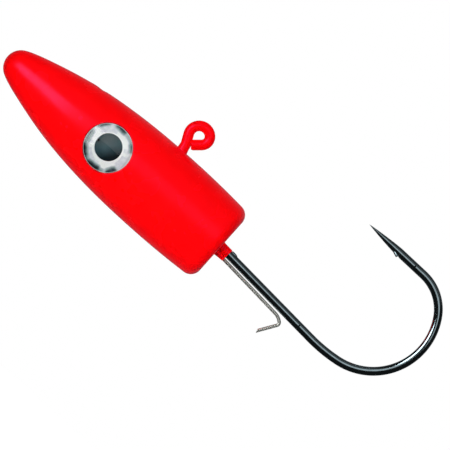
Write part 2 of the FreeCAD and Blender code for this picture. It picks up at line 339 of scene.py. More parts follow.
def dipped_paint(look):
    """Fluorescent two-coat topcoat, dipped and oven-hardened: a glossy skin, faintly wavy, with painted shade
    where the wires leave the head and under the collar. Its highlights are tinted pink, as on a fluorescent
    paint."""
    material, tree, out = new_material("dipped_fluorescent_topcoat")
    place = node(tree, "ShaderNodeTexCoord").outputs["Object"]
    # flow marks of the dip, about 4 mm apart
    flow = node(tree, "ShaderNodeTexNoise", {"Scale": 1 / (4.0 * MM), "Detail": 2.0}, {"Vector": place})
    # orange peel, about 0.7 mm across
    peel = node(tree, "ShaderNodeTexNoise", {"Scale": 1 / (0.7 * MM), "Detail": 1.0}, {"Vector": place})
    # painted shade: a mark made with the skin mixes in the darker red where the wires leave the head and on
    # the collar's lower side
    painted_shade_weight = node(tree, "ShaderNodeAttribute", attribute_name="painted_shade")
    light = tuple(look.paint)
    shade = ramp(tree, flow.outputs["Fac"], [(0.3, tuple(c * 0.93 for c in light)), (0.7, light)])
    # the Mix node's colour sockets are 6 and 7, and its colour output is 2
    deep = node(
        tree,
        "ShaderNodeMix",
        {7: rgba(look.paint_deep)},
        {0: painted_shade_weight.outputs["Fac"], 6: shade.outputs["Color"]},
        data_type="RGBA",
    )
    rough = node(
        tree,
        "ShaderNodeMapRange",
        {"From Min": 0.3, "From Max": 0.7, "To Min": 0.22, "To Max": 0.3},
        {"Value": flow.outputs["Fac"]},
    )
    bump = node(
        tree,
        "ShaderNodeBump",
        {"Strength": 0.06, "Distance": 0.05 * MM},
        {"Height": peel.outputs["Fac"]},
    )
    shader = node(
        tree,
        "ShaderNodeBsdfPrincipled",
        {
            "IOR": 1.4,
            "Specular Tint": (1.0, 0.25, 1.0, 1.0),
            "Sheen Weight": 0.08,
            "Sheen Roughness": 0.35,
            "Sheen Tint": (1.0, 0.1, 0.4, 1.0),
        },
        {
            "Base Color": deep.outputs[2],
            "Roughness": rough.outputs["Result"],
            "Normal": bump.outputs["Normal"],
        },
    )
    tree.links.new(shader.outputs[0], out.inputs["Surface"])
    return material


def wire_metal(name, base, metallic, low, high, streak, depth):
    """Bare or plated drawn wire: metal whose roughness runs in fine streaks along it, left by the die."""
    material, tree, out = new_material(name)
    place = node(tree, "ShaderNodeAttribute", attribute_name="wire_place").outputs["Vector"]
    # the attribute is the place round the wire, and the length along it in mm, squeezed so streaks run long
    line = node(tree, "ShaderNodeTexNoise", {"Scale": streak, "Detail": 3.0}, {"Vector": place})
    spot = node(tree, "ShaderNodeTexCoord").outputs["Object"]
    mottle = node(tree, "ShaderNodeTexNoise", {"Scale": 1 / (1.3 * MM), "Detail": 2.0}, {"Vector": spot})
    shade = ramp(tree, mottle.outputs["Fac"], [(0.35, tuple(c * 0.8 for c in base)), (0.65, tuple(base))])
    rough = node(
        tree,
        "ShaderNodeMapRange",
        {"From Min": 0.3, "From Max": 0.7, "To Min": low, "To Max": high},
        {"Value": line.outputs["Fac"]},
    )
    bump = node(
        tree,
        "ShaderNodeBump",
        {"Strength": depth, "Distance": 0.02 * MM},
        {"Height": line.outputs["Fac"]},
    )
    shader = node(
        tree,
        "ShaderNodeBsdfPrincipled",
        {"Metallic": metallic},
        {
            "Base Color": shade.outputs["Color"],
            "Roughness": rough.outputs["Result"],
            "Normal": bump.outputs["Normal"],
        },
    )
    tree.links.new(shader.outputs[0], out.inputs["Surface"])
    return material


def embossed_foil(look):
    """Vacuum-metallised film, embossed in facets. The disc is flat, and the tones of its facets are a painted
    reflection and shade, with faint mint and lilac. It is embedded in resin, so it has no gloss of its own."""
    material, tree, out = new_material("embossed_silver_film")
    # painted reflection and shade: the tones made with the disc stand in for the light on the embossed facets
    foil_tone_and_painted_light = node(tree, "ShaderNodeAttribute", attribute_name="foil_tone_and_painted_light").outputs["Fac"]
    place = node(tree, "ShaderNodeTexCoord").outputs["Object"]
    # creases and rubs in the film, about 0.8 mm across
    rub = node(tree, "ShaderNodeTexNoise", {"Scale": 1 / (0.8 * MM), "Detail": 3.0}, {"Vector": place})
    stirred = node(
        tree,
        "ShaderNodeMath",
        {1: 0.32},
        {0: rub.outputs["Fac"], 2: foil_tone_and_painted_light},
        operation="MULTIPLY_ADD",
    )
    bright = tuple(look.foil)
    stops = [
        (0.17, linear("060B0E")),
        (0.34, linear("46545A")),
        (0.56, linear("93A8A6")),
        (0.76, linear("C4C9D2")),
        (0.92, bright),
    ]
    shade = ramp(tree, stirred.outputs[0], stops)
    shader = node(
        tree,
        "ShaderNodeBsdfPrincipled",
        {"Metallic": 0.35, "Roughness": 0.4, "Specular IOR Level": 0.0},
        {"Base Color": shade.outputs["Color"]},
    )
    tree.links.new(shader.outputs[0], out.inputs["Surface"])
    return material


def pupil_ink(look):
    """Screen-printed ink under the dome: satin blue-black, with a painted reflection lighter towards the nose
    and top and painted shade darker towards the rear and bottom, and a thick spot near its edge. The print is
    embedded in resin, so it has no gloss of its own."""
    material, tree, out = new_material("screen_printed_ink")
    place = node(tree, "ShaderNodeTexCoord").outputs["Object"]
    low, high = PUPIL_BOX
    middle = (low + high) / 2
    reach = (high.x - low.x) / 2
    centred = node(
        tree,
        "ShaderNodeMapping",
        {"Location": (-middle.x / reach, 0, -middle.z / reach), "Scale": (1 / reach, 0, 1 / reach)},
        {"Vector": place},
    )
    split = node(tree, "ShaderNodeSeparateXYZ", links={"Vector": centred.outputs[0]})
    # painted reflection and shade: the ink is lighter towards the nose and the top and darker towards the
    # rear and the bottom, in place of the dome's reflection over it
    side = node(
        tree,
        "ShaderNodeMath",
        {1: -1.3},
        {0: split.outputs["X"], 2: split.outputs["Z"]},
        operation="MULTIPLY_ADD",
    )
    grain = node(tree, "ShaderNodeTexNoise", {"Scale": 1 / (0.5 * MM), "Detail": 2.0}, {"Vector": place})
    mixed = node(
        tree,
        "ShaderNodeMath",
        {1: 0.3},
        {0: grain.outputs["Fac"], 2: side.outputs[0]},
        operation="MULTIPLY_ADD",
    )
    stops = [(0.0, linear("0C161B")), (0.6, tuple(look.pupil)), (1.0, linear("35484C"))]
    span = node(
        tree,
        "ShaderNodeMapRange",
        {"From Min": -1.0, "From Max": 1.1},
        {"Value": mixed.outputs[0]},
    )
    shade = ramp(tree, span.outputs["Result"], stops)
    # the print has a small flaw at its edge, where the ink is thickest
    flaw = node(
        tree,
        "ShaderNodeVectorMath",
        {1: (-0.87, 0, -0.09)},
        {0: centred.outputs[0]},
        operation="DISTANCE",
    )
    thick = node(
        tree,
        "ShaderNodeMapRange",
        {"From Min": 0.08, "From Max": 0.13},
        {"Value": flaw.outputs["Value"]},
    )
    shade = node(
        tree,
        "ShaderNodeMix",
        {6: rgba(linear("010304"))},
        {0: thick.outputs["Result"], 7: shade.outputs["Color"]},
        data_type="RGBA",
    )
    shader = node(
        tree,
        "ShaderNodeBsdfPrincipled",
        {"Roughness": 0.45, "Specular IOR Level": 0.0},
        {"Base Color": shade.outputs[2]},
    )
    tree.links.new(shader.outputs[0], out.inputs["Surface"])
    return material


def clear_resin():
    """Doming resin, poured and levelled by its own surface tension: glass-clear, smooth, with a soft edge."""
    material, tree, out = new_material("poured_doming_resin")
    place = node(tree, "ShaderNodeTexCoord").outputs["Object"]
    # slow ripples from levelling, about 3 mm long
    ripple = node(tree, "ShaderNodeTexNoise", {"Scale": 1 / (3.0 * MM), "Detail": 0.0}, {"Vector": place})
    bump = node(
        tree,
        "ShaderNodeBump",
        {"Strength": 0.03, "Distance": 0.05 * MM},
        {"Height": ripple.outputs["Fac"]},
    )
    shader = node(
        tree,
        "ShaderNodeBsdfPrincipled",
        {"Base Color": (1, 1, 1, 1), "Transmission Weight": 1.0, "IOR": 1.49, "Roughness": 0.06},
        {"Normal": bump.outputs["Normal"]},
    )
    tree.links.new(shader.outputs[0], out.inputs["Surface"])
    return material


def rough_solid(name, base, metallic, roughness, grain_mm, depth):
    """A matt surface with a grain: colour and height follow one noise."""
    material, tree, out = new_material(name)
    place = node(tree, "ShaderNodeTexCoord").outputs["Object"]
    grain = node(tree, "ShaderNodeTexNoise", {"Scale": 1 / (grain_mm * MM), "Detail": 4.0}, {"Vector": place})
    shade = ramp(tree, grain.outputs["Fac"], [(0.3, tuple(c * 0.75 for c in base)), (0.7, tuple(base))])
    bump = node(
        tree,
        "ShaderNodeBump",
        {"Strength": 0.4, "Distance": depth * MM},
        {"Height": grain.outputs["Fac"]},
    )
    shader = node(
        tree,
        "ShaderNodeBsdfPrincipled",
        {"Metallic": metallic, "Roughness": roughness},
        {"Base Color": shade.outputs["Color"], "Normal": bump.outputs["Normal"]},
    )
    tree.links.new(shader.outputs[0], out.inputs["Surface"])
    return material


# Shapes

# the flank between the nose's ball and the widest point: share of the way back, share of the radius to gain
FLANK = ((0, 0), (0.045, 0.130), (0.146, 0.335), (0.308, 0.604), (0.561, 0.867), (0.788, 0.977), (1, 1))
# the shank's angle below the body's axis, and how much further the keeper splays from it, in degrees
DROOP, SPLAY = 3.9, 0.65
# how far below the shank's middle the keeper leaves the rear face, in mm
KEEPER_DROP = 1.40
# the hook's bend after the straight shank: three arcs of radius in mm and turn in degrees, then the straight
# part before the point, in mm
BEND = ((33.0, 12.2), (13.04, 113.8), (9.4, 56.6))
BEFORE_POINT = 6.7


def smooth_through(points, first_way, last_way, steps):
    """A smooth curve through points, cubic between them, with its direction set at both ends: the second
    differences of a cubic spline over chord length, solved as one linear system."""
    points = np.asarray(points, float)
    chord = np.concatenate([[0], np.cumsum(np.hypot(*np.diff(points, axis=0).T))])
    gap = np.diff(chord)
    count = len(points)
    system = np.zeros((count, count))
    target = np.zeros((count, 2))
    inner = np.arange(1, count - 1)
    slope = np.diff(points, axis=0) / gap[:, None]
    system[inner, inner - 1] = gap[inner]
    system[inner, inner] = 2 * (gap[inner - 1] + gap[inner])
    system[inner, inner + 1] = gap[inner - 1]
    target[inner] = 3 * (gap[inner][:, None] * slope[inner - 1] + gap[inner - 1][:, None] * slope[inner])
    system[0, 0] = system[-1, -1] = 1
    target[0], target[-1] = first_way, last_way
    way = np.linalg.solve(system, target)
    at = np.linspace(0, chord[-1], steps)
    k = np.clip(np.searchsorted(chord, at, side="right") - 1, 0, count - 2)
    t = ((at - chord[k]) / gap[k])[:, None]
    g = gap[k][:, None]
    start, end = points[k], points[k + 1]
    return (
        (2 * t**3 - 3 * t**2 + 1) * start
        + (t**3 - 2 * t**2 + t) * g * way[k]
        + (3 * t**2 - 2 * t**3) * end
        + (t**3 - t**2) * g * way[k + 1]
    )


def body_outline(sizes):
    """Stations and radii of the painted body from nose to rear face: a ball, a smooth flank, a long arc back
    from the widest point, a rounded corner and a flat."""
    ball = sizes.nose_radius
    slope = sizes.nose_slope
    widest = np.array([NOSE_X + sizes.nose_to_widest, BODY_RADIUS])
    angle = np.linspace(math.pi, math.pi / 2 + slope, 22)
    nose = np.stack([NOSE_X + ball + ball * np.cos(angle), ball * np.sin(angle)], -1)
    gain = widest - nose[-1]
    flank = smooth_through(nose[-1] + gain * np.array(FLANK), (math.cos(slope), math.sin(slope)), (1, 0), 112)
    back = SEAT[0] - widest[0]
    big = (back**2 + sizes.rear_taper**2) / (2 * sizes.rear_taper)
    big_z = widest[1] - big
    corner = sizes.rear_corner
    corner_x = SEAT[0] - corner
    corner_z = big_z + math.sqrt((big - corner) ** 2 - (corner_x - widest[0]) ** 2)
    lean = math.atan2(corner_z - big_z, corner_x - widest[0])
    angle = np.linspace(math.pi / 2, lean, 44)
    rear = np.stack([widest[0] + big * np.cos(angle), big_z + big * np.sin(angle)], -1)
    angle = np.linspace(lean, 0, 16)
    edge = np.stack([corner_x + corner * np.cos(angle), corner_z + corner * np.sin(angle)], -1)
    face = np.stack([np.full(12, SEAT[0]), np.linspace(corner_z, 0, 12)], -1)
    line = np.concatenate([nose, flank[1:], rear[1:], edge[1:], face[1:]])
    return line[:, 0], np.maximum(line[:, 1], 0)


def body_grids(sizes):
    """The painted body as a surface of station and angle, with a round socket let into each side. The angle
    is 0 on the left side and a quarter turn at the top. A window of the surface round each eye is replaced by
    rows drawn from the window's edge to the socket's rim, over it, down the wall and in to the middle."""
    x, r = body_outline(sizes)
    angle = np.radians(np.linspace(-90, 270, 241))
    behind_nose = x[:, None] - NOSE_X
    top = np.exp(-(((angle - math.pi / 2) / math.radians(11)) ** 2))[None]
    mark = -sizes.sprue_depth * np.exp(-(((behind_nose - 18.7) / 0.8) ** 2))
    mark = mark + 0.35 * sizes.sprue_depth * np.exp(-(((behind_nose - 16.9) / 0.9) ** 2))
    radius = r[:, None] + mark * top
    grid = np.stack([
        np.broadcast_to(x[:, None], radius.shape),
        -radius * np.cos(angle),
        SEAT[2] + radius * np.sin(angle),
    ], -1)
    eye_x, eye_z = LEFT_EYE.x, LEFT_EYE.z - SEAT[2]
    side = np.flatnonzero((x > NOSE_X + 4) & (r > 6) & (x < SEAT[0] - 4))
    low = side[np.searchsorted(x[side], eye_x - EYE_RADIUS - 1.9)]
    high = side[np.searchsorted(x[side], eye_x + EYE_RADIUS + 1.9)]
    # columns go round from the belly, so the right eye's window mirrors the left one's about the top column
    left, right = 25, 91
    band = grid[low : high + 1]
    grids = [grid[: low + 1], grid[high:]]
    grids += [band[:, : left + 1], band[:, right : 241 - right], band[:, 240 - left :]]

    rows, columns = np.arange(low, high + 1), np.arange(left, right + 1)
    level, upright = np.ones(len(columns) - 1, int), np.ones(len(rows) - 1, int)
    edge_row = np.concatenate([[low], low * level, rows[1:], high * level, rows[-2::-1]])
    edge_column = np.concatenate([columns, right * upright, columns[-2::-1], left * upright])
    edge_x, edge_angle = x[edge_row], angle[edge_column]
    across = (edge_angle - math.asin(eye_z / BODY_RADIUS)) * BODY_RADIUS
    way = np.arctan2(across, edge_x - eye_x)
    flank_x, flank_r = x[side], r[side]
    socket = EYE_RADIUS + sizes.socket_gap
    rim = socket + sizes.socket_round
    rim_x, rim_z = eye_x + rim * np.cos(way), eye_z + rim * np.sin(way)
    rim_angle = np.arcsin(rim_z / np.interp(rim_x, flank_x, flank_r))
    share = np.linspace(0, 1, 15)[:, None]
    ring_x = edge_x + (rim_x - edge_x) * share
    ring_angle = edge_angle + (rim_angle - edge_angle) * share
    ring_r = np.interp(ring_x, flank_x, flank_r)
    ring = np.stack([ring_x, -ring_r * np.cos(ring_angle), SEAT[2] + ring_r * np.sin(ring_angle)], -1)
    rim_y = -ring[-1, :, 1]
    turn = np.linspace(0, math.pi / 2, 6)[:, None]
    over = sizes.socket_round
    fillet_r = socket + over * (1 - np.sin(turn)) + 0 * way
    fillet_y = np.maximum(rim_y - over * (1 - np.cos(turn)), EYE_FLOOR)
    wall_y = fillet_y[-1] + (EYE_FLOOR - fillet_y[-1]) * np.linspace(0, 1, 4)[1:, None]
    floor_r = socket * np.linspace(1, 0, 6)[1:, None] + 0 * way
    well_r = np.concatenate([fillet_r, np.full(wall_y.shape, socket), floor_r])
    well_y = np.concatenate([fillet_y, wall_y, np.full(floor_r.shape, EYE_FLOOR)])
    well = np.stack([eye_x + well_r * np.cos(way), -well_y, SEAT[2] + eye_z + well_r * np.sin(way)], -1)
    for patch in (ring, well):
        grids += [patch, patch * np.array([1, -1, 1])]
    return grids


def hook_line(sizes, step):
    """The hook wire's middle line, from the end that closes the line eye to the start of the point. The
    straight end stops at the neck's side, and the neck's line meets the shank's inside the body."""
    r = sizes.hook_wire / 2
    ring, low_ring, ring_way, ring_turn, lean = 2.16, 1.67, 41.76, 164.5, 10.0
    along, neck_way, buried, standing = heading(ring_way), lean - 90, 3.0, 25.6
    low_start = along * (ring - low_ring) + heading(ring_way - 90) * low_ring
    out = heading(ring_way + ring_turn)
    across = ((low_start - out * ring) * np.conj(-out)).real
    tilt = math.radians(180 - ring_turn)
    tail = (across - r * (1 + math.sin(tilt)) - 0.03) / math.cos(tilt)
    neck_turn = neck_way + 360 - (ring_way + ring_turn + 90)
    start = low_start - along * tail
    eye = [tail, (low_ring, 90.0), (ring, ring_turn), 1.95, (1.3, neck_turn)]
    neck = bent_line(start, ring_way, eye, 1.0)[0][-1]
    face = SEAT[0] + 1j * SEAT[2]
    shank, way = heading(-DROOP), heading(neck_way)
    cross = (np.conj(way) * shank).imag
    run = (np.conj(face - neck) * shank).imag / cross
    corner = neck + way * run
    turn = -DROOP - neck_way
    cut = buried * math.tan(math.radians(turn / 2))
    through_lead = [run - cut, (buried, turn), abs(face - corner) - cut + standing]
    moves = [*eye, *through_lead, *BEND, BEFORE_POINT]
    return start, ring_way, moves, step


def on_shank(along, up=0.0):
    """A point beside the shank, from where it leaves the rear face."""
    return SEAT[0] + 1j * SEAT[2] + heading(-DROOP) * along + heading(90 - DROOP) * up


def wire_place(cos, sin, run):
    """Where each point of a capped wire is for its streaks: round the wire, and slowly along it."""
    shape = (len(run), len(cos))
    along = run[:, None] * 0.12
    place = np.stack([np.broadcast_to(v, shape) for v in (cos, sin, along)], -1)
    return np.concatenate([place[:1], place[:1], place, place[-1:], place[-1:]])


def thorn(line, way, wide, high):
    """A small pointed lump: an oval section carried along a short line, with its own width and height."""
    cos, sin = round_ring(20)
    square = np.sign(sin) * np.abs(sin) ** 0.7
    return capped(carried(line, way, wide[:, None] * cos, high[:, None] * square))


class JIG_OT_paint(bpy.types.Operator):
    """Build the painted skin of the head, the line eye and the roots of the wires"""

    bl_idname = "jig.paint"
    bl_label = "Painted skin"

    def execute(self, context):
        sizes, wires = in_mm(context.scene.jig_body), in_mm(context.scene.jig_wire)
        grids = body_grids(sizes)
        painted_shade_weights = [np.zeros(g.shape[:2]) for g in grids]
        film = wires.hook_wire / 2 + sizes.paint_on_wire
        start, way, moves, step = hook_line(wires, 0.16)
        start = start - heading(way) * sizes.paint_on_wire
        moves = [moves[0] + sizes.paint_on_wire, *moves[1:5], moves[5] * 0.45]
        line, turn, run = bent_line(start, way, moves, step)
        x, r = body_outline(sizes)
        side = np.flatnonzero((r > 6) & (x < SEAT[0] - 3))
        above = line.imag - SEAT[2] - np.interp(line.real, x[side], r[side])
        near_head = run > run[-1] * 0.6
        climb = sizes.meniscus * np.exp(-np.maximum(above, 0) / 0.35) * near_head
        cos, sin = round_ring(40)
        radius = (film + climb) * np.minimum(1, np.sqrt(np.clip(run / 0.35, 0, 1) * 0.35 + 0.65))
        tube = capped(carried(line, turn, radius[:, None] * cos, radius[:, None] * sin))
        grids.append(tube)
        # painted shade: the line eye's paint is darkened where it climbs out of the head
        painted_shade_weight = np.concatenate([[0, 0], np.clip(climb / 0.6, 0, 1) * 0.35, [0, 0]])
        painted_shade_weights.append(painted_shade_weight[:, None] + 0 * tube[:, :, 0])
        # the collar on the shank, square-cut with a rounded edge, and the taper on the keeper's root
        length = sizes.collar_length
        run = np.concatenate([np.linspace(-0.6, length - 0.15, 26), np.linspace(length - 0.13, length, 6)])
        # each: the wire's radius, how far it lies below the shank, its splay, and the paint's thickness at
        # the rear face and at the collar's end
        hook_collar = (wires.hook_wire / 2, 0.0, 0.0, 0.2, 0.2)
        keeper_collar = (wires.keeper_wire / 2, KEEPER_DROP, SPLAY, 0.32, 0.05)
        for wire, drop, splay, root, tip in (hook_collar, keeper_collar):
            centre = on_shank(length, -drop) + heading(-DROOP - splay) * (run - length)
            film = root + (tip - root) * np.clip(run / length, 0, 1)
            film = film + 0.5 * sizes.meniscus * np.exp(-np.maximum(run, 0) / 0.22)
            film = film * np.sqrt(np.clip(1 - (np.clip(run - length + 0.13, 0, 0.13) / 0.14) ** 2, 0, 1))
            radius = (wire + film)[:, None]
            turn = np.full(len(run), math.radians(-DROOP - splay))
            tube = capped(carried(centre, turn, radius * cos, radius * sin))
            grids.append(tube)
            # painted shade: darkest just behind the rear face and on each wire's lower side
            shade = 0.85 * np.exp(-(((run - 0.45) / 0.5) ** 2))[:, None] * (0.5 - 0.5 * sin)
            painted_shade_weights.append(np.concatenate([shade[:1], shade[:1], shade, shade[-1:], shade[-1:]]))
        piece = make_piece("paint_skin", grids, {"painted_shade": painted_shade_weights})
        finish_piece(piece, dipped_paint(context.scene.jig_finish), "paint", "head", "paint_coat")
        return {"FINISHED"}


class JIG_OT_hook(bpy.types.Operator):
    """Build the hook: one wire with forged flats, a needle point, a cut barb and the nib on its shank"""

    bl_idname = "jig.hook"
    bl_label = "Hook"

    def execute(self, context):
        wires = in_mm(context.scene.jig_wire)
        r = wires.hook_wire / 2
        half = wires.forged_width / 2
        start, way, moves, step = hook_line(wires, 0.22)
        line, turn, run = bent_line(start, way, moves, step)
        tip_way = turn[-1]
        share = np.linspace(0, 1, 66)[1:]
        line = np.concatenate([line, line[-1] + np.exp(1j * tip_way) * wires.point_length * share])
        turn = np.concatenate([turn, np.full(65, tip_way)])
        run = np.concatenate([run, run[-1] + wires.point_length * share])
        point_at = run[-1] - wires.point_length
        radius = np.full(len(run), r)
        radius[-65:] = r + (0.04 - r) * share + 0.32 * share * (1 - share)
        # the steps round the wire are a little closer towards its forged faces
        edge = math.acos(half / r)
        quarter = np.concatenate([np.linspace(0, edge, 6)[:-1], np.linspace(edge, math.pi / 2, 9)[:-1]])
        halfway = np.concatenate([quarter, [math.pi / 2], math.pi - quarter[:0:-1]])
        round_wire = np.concatenate([halfway, math.pi + halfway, [2 * math.pi]])
        cos, sin = np.cos(round_wire), np.sin(round_wire)
        # it is forged from 3.6 mm before the bend's arcs to 2.5 mm past them
        flats_from = point_at - BEFORE_POINT - sum(arc * math.radians(bend) for arc, bend in BEND) - 3.6
        flats_to = point_at - BEFORE_POINT + 2.5
        into = np.clip((run - flats_from) / 0.5, 0, 1) * np.clip((flats_to - run) / 0.3, 0, 1)
        # the forged faces are bowed, fullest in their middle, so the wire is oval there
        limit = (r - (r - half) * into)[:, None]
        wide = np.minimum(radius[:, None], limit) * cos
        high = radius[:, None] * sin
        # the cut that raises the barb is up to 0.16 mm deep, in the last 0.9 mm before the point
        past = run - point_at
        slit = r - 0.16 * np.clip((past + 0.9) / 0.6, 0, 1)
        cut = np.where((past > -0.9) & (past < 0.0), slit, 9.0)[:, None]
        grid = capped(carried(line, turn, wide, np.minimum(high, cut)))
        # barb: a sliver raised by the cut, from its root on the point back to its tip, each as the length
        # along the point and the height over the wire's middle
        root, tip = 0.95 + 0.4j * r, -0.4 + 1j * (r + 0.03)
        share = np.linspace(0, 1, 18)
        at = line[-66] + np.exp(1j * tip_way) * (root + (tip - root) * share)
        lean = np.angle(tip - root) + tip_way
        barb = thorn(at, np.full(18, lean), 0.56 + 0.36 * share, 0.4 - 0.1 * share**2)
        # nib: a low lump raised on the shank right behind the paint
        share = np.linspace(0, 1, 14)
        at = on_shank(2.28 + 1.6 * share, r - 0.12)
        hump = np.sqrt(np.clip(1 - (2 * share - 0.75) ** 2 / 1.6, 0.02, 1))
        nib = thorn(at, np.full(14, math.radians(-DROOP)), 0.42 * hump, 0.34 * hump)
        places = [wire_place(cos, sin, run), barb * 0.3, nib * 0.3]
        piece = make_piece("hook_wire", [grid, barb, nib], {"wire_place": places})
        # bright nickel blackened over a carbon steel wire: it mirrors the dim room, so it looks nearly black,
        # and blue-white where it mirrors a lamp
        metal = wire_metal("black_nickel_plate", context.scene.jig_finish.nickel, 1.0, 0.09, 0.13, 1.2, 0.01)
        finish_piece(piece, metal, "black_nickel", "head", "hook")
        return {"FINISHED"}


class JIG_OT_keeper(bpy.types.Operator):
    """Build the bait keeper as one spring wire, still in the lead at its foot"""

    bl_idname = "jig.keeper"
    bl_label = "Bait keeper"

    def execute(self, context):
        sizes, wires = in_mm(context.scene.jig_body), in_mm(context.scene.jig_wire)
        r = wires.keeper_wire / 2
        splay = -DROOP - SPLAY
        leave = on_shank(sizes.collar_length, -(wires.hook_wire / 2 + r + 0.15))
        # inside the lead it runs straight on for 9 mm past the rear face, then turns down into a short foot
        inside, elbow, turned, foot, joint_gap = sizes.collar_length + 9.0, 1.2, 75.0, 2.6, 0.06
        foot_line, foot_way, _ = bent_line(leave, splay + 180, [inside, (elbow, turned), foot], 0.5)
        straight = inside + joint_gap + wires.keeper_leg
        moves = [foot, (elbow, -turned), straight, (3.0, -38.0), (0.6, -80.5), wires.spur]
        line, turn, run = bent_line(foot_line[-1], math.degrees(foot_way[-1]) + 180, moves, 0.16)
        cos, sin = round_ring(28)
        wide, high = np.broadcast_to(r * cos, (len(run), 29)), np.broadcast_to(r * sin, (len(run), 29))
        # the spur's end is cut off at a slant: near it, points fall back by how far below the wire's upper
        # edge they lie
        slant = math.tan(math.radians(40.0))
        near = np.clip((run - (run[-1] - 0.9)) / 0.9, 0, 1)[:, None]
        grid = capped(carried(line, turn, wide, high, -(r - high) * slant * near))
        piece = make_piece("keeper_wire", [grid], {"wire_place": [wire_place(cos, sin, run)]})
        # spring-hard drawn stainless: bright, with die lines
        metal = wire_metal("drawn_spring_steel", context.scene.jig_finish.spring, 0.8, 0.24, 0.3, 1.2, 0.01)
        finish_piece(piece, metal, "spring_wire", None, "keeper_anchor", "keeper_leg")
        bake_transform(piece)
        return {"FINISHED"}


def eye_disc(side, rings, way_count=144):
    """A turned shape on an eye's own axis: rings of radius and height out from the plane of symmetry."""
    cos, sin = round_ring(way_count)
    radius, out = np.array(rings).T
    x = LEFT_EYE.x + radius[:, None] * cos
    z = LEFT_EYE.z + radius[:, None] * sin
    return np.stack([x, np.broadcast_to(side * out[:, None], x.shape), z], -1)


# how far up from +X the line is turned from which the foil's facets are counted, in degrees
FOIL_TURN = 42
# each of the embossed facets of the foil: its direction from that line and half its width in degrees, how far
# out its
# # inner edge is in mm, how much that edge is skewed in mm a radian, and its tone at full depth, which is
# painted shade
FACETS = (
    (97, 17, 4.15, 0.3, 0.0),
    (52, 17, 3.75, -0.5, 0.08),
    (22, 14, 4.1, 0.4, 0.42),
    (-1, 13, 3.9, -0.3, 0.2),
    (-40, 20, 4.3, 0.3, 0.6),
    (-83, 15, 3.6, 0.5, 0.08),
    (-112, 12, 4.0, -0.2, 0.38),
    (226, 21, 3.6, 0.5, 0.0),
    (187, 22, 3.7, -0.25, 0.04),
    (145, 20, 3.6, 0.4, 0.24),
)


def foil_grid(side):
    """The foil disc, which is flat, and its painted tone at each point. Faint wedges fan out from the pupil;
    over them, facets with straight inner edges darken towards the rim as painted shade; the halo round the
    pupil is bright, and the rim is bright with a painted reflection."""
    base = FOIL_TOP - 0.1
    reach = EYE_RADIUS - 0.12
    radius = np.concatenate([[0, 2.0, reach], np.linspace(reach, 0, 90)])
    out = np.concatenate([[base, base, base], np.full(90, FOIL_TOP)])
    grid = eye_disc(side, np.stack([radius, out], -1), 300)
    turned = np.linspace(0, 2 * math.pi, 301)[None] - math.radians(FOIL_TURN)
    far = radius[:, None]
    wedge = np.sin(3 * turned + 0.6) + 0.7 * np.sin(7 * turned + 2.0 * np.sin(2 * turned))
    tone = 0.72 + 0.08 * np.tanh(3 * wedge)
    # painted shade: each of the facets darkens from its straight inner edge towards the rim, standing in for
    # the light on its tilt
    for middle, half, inner, skew, shade in FACETS:
        off = np.angle(np.exp(1j * (turned - math.radians(middle))))
        within = 1 / (1 + np.exp((np.abs(off) - math.radians(half)) / 0.03))
        beyond = 1 / (1 + np.exp((inner - far * np.cos(off) - skew * off) / 0.06))
        deep = np.clip((far * np.cos(off) + skew * off - inner) / 0.8, 0, 1)
        tone = tone + (0.5 + (shade - 0.5) * deep - tone) * within * beyond
    halo = np.exp(-(((far - 2.86) / 0.22) ** 4))
    tone = tone * (1 - halo) + 0.95 * halo
    # painted reflection: a bright line round the foil's edge stands in for the light that the dome's edge
    # catches
    rim = np.clip((far - EYE_RADIUS + 0.22) / 0.05, 0, 1)
    return grid, tone * (1 - rim) + 0.9 * rim


class JIG_OT_eyes(bpy.types.Operator):
    """Build both stick-on eyes: the embossed foil and the clear dome, with the printed pupil and the pad"""

    bl_idname = "jig.eyes"
    bl_label = "Eyes"

    def execute(self, context):
        look = context.scene.jig_finish
        foil, dome_resin, ink = embossed_foil(look), clear_resin(), pupil_ink(look)
        pad = rough_solid("acrylic_foam_pad", linear("C9C8C2"), 0.0, 0.85, 0.3, 0.02)
        rise = 1.0
        crown = (EYE_RADIUS**2 + rise**2) / (2 * rise)
        # the resin is cast on the foil, so the dome reaches just below the foil's face, with no air between
        under = FOIL_TOP - 0.05
        reach = np.linspace(0, EYE_RADIUS - 0.12, 40)
        cap = np.stack([reach, DOME_TOP - crown + np.sqrt(crown**2 - reach**2)], -1)
        edge_y = cap[-1, 1]
        bend = np.linspace(0, math.pi / 2, 8)[1:]
        lip = np.stack([EYE_RADIUS - 0.12 + 0.12 * np.sin(bend), edge_y - 0.12 * (1 - np.cos(bend))], -1)
        wall = np.stack([np.full(4, EYE_RADIUS), np.linspace(lip[-1, 1], under, 5)[1:]], -1)
        under_side = np.stack([np.linspace(EYE_RADIUS, 0, 10)[1:], np.full(9, under)], -1)
        rings = np.concatenate([cap, lip, wall, under_side])
        for side, name in ((-1, "left"), (1, "right")):
            grid, tone = foil_grid(side)
            # the disc carries its painted reflection and shade as a mark
            disc = make_piece(f"{name}_foil_disc", [grid], {"foil_tone_and_painted_light": [tone + 0 * grid[:, :, 0]]})
            finish_piece(disc, foil, "foil", "head", f"{name}_eye_foil")
            dome = make_piece(f"{name}_resin_dome", [eye_disc(side, rings)])
            finish_piece(dome, dome_resin, "clear_dome", "head", f"{name}_eye_dome")
            for part, material in (("pupil", ink), ("adhesive", pad)):
                cad = frame["nodes"][f"{name}_eye_{part}"]
                cad.data.materials.clear()
                cad.data.materials.append(material)
        return {"FINISHED"}


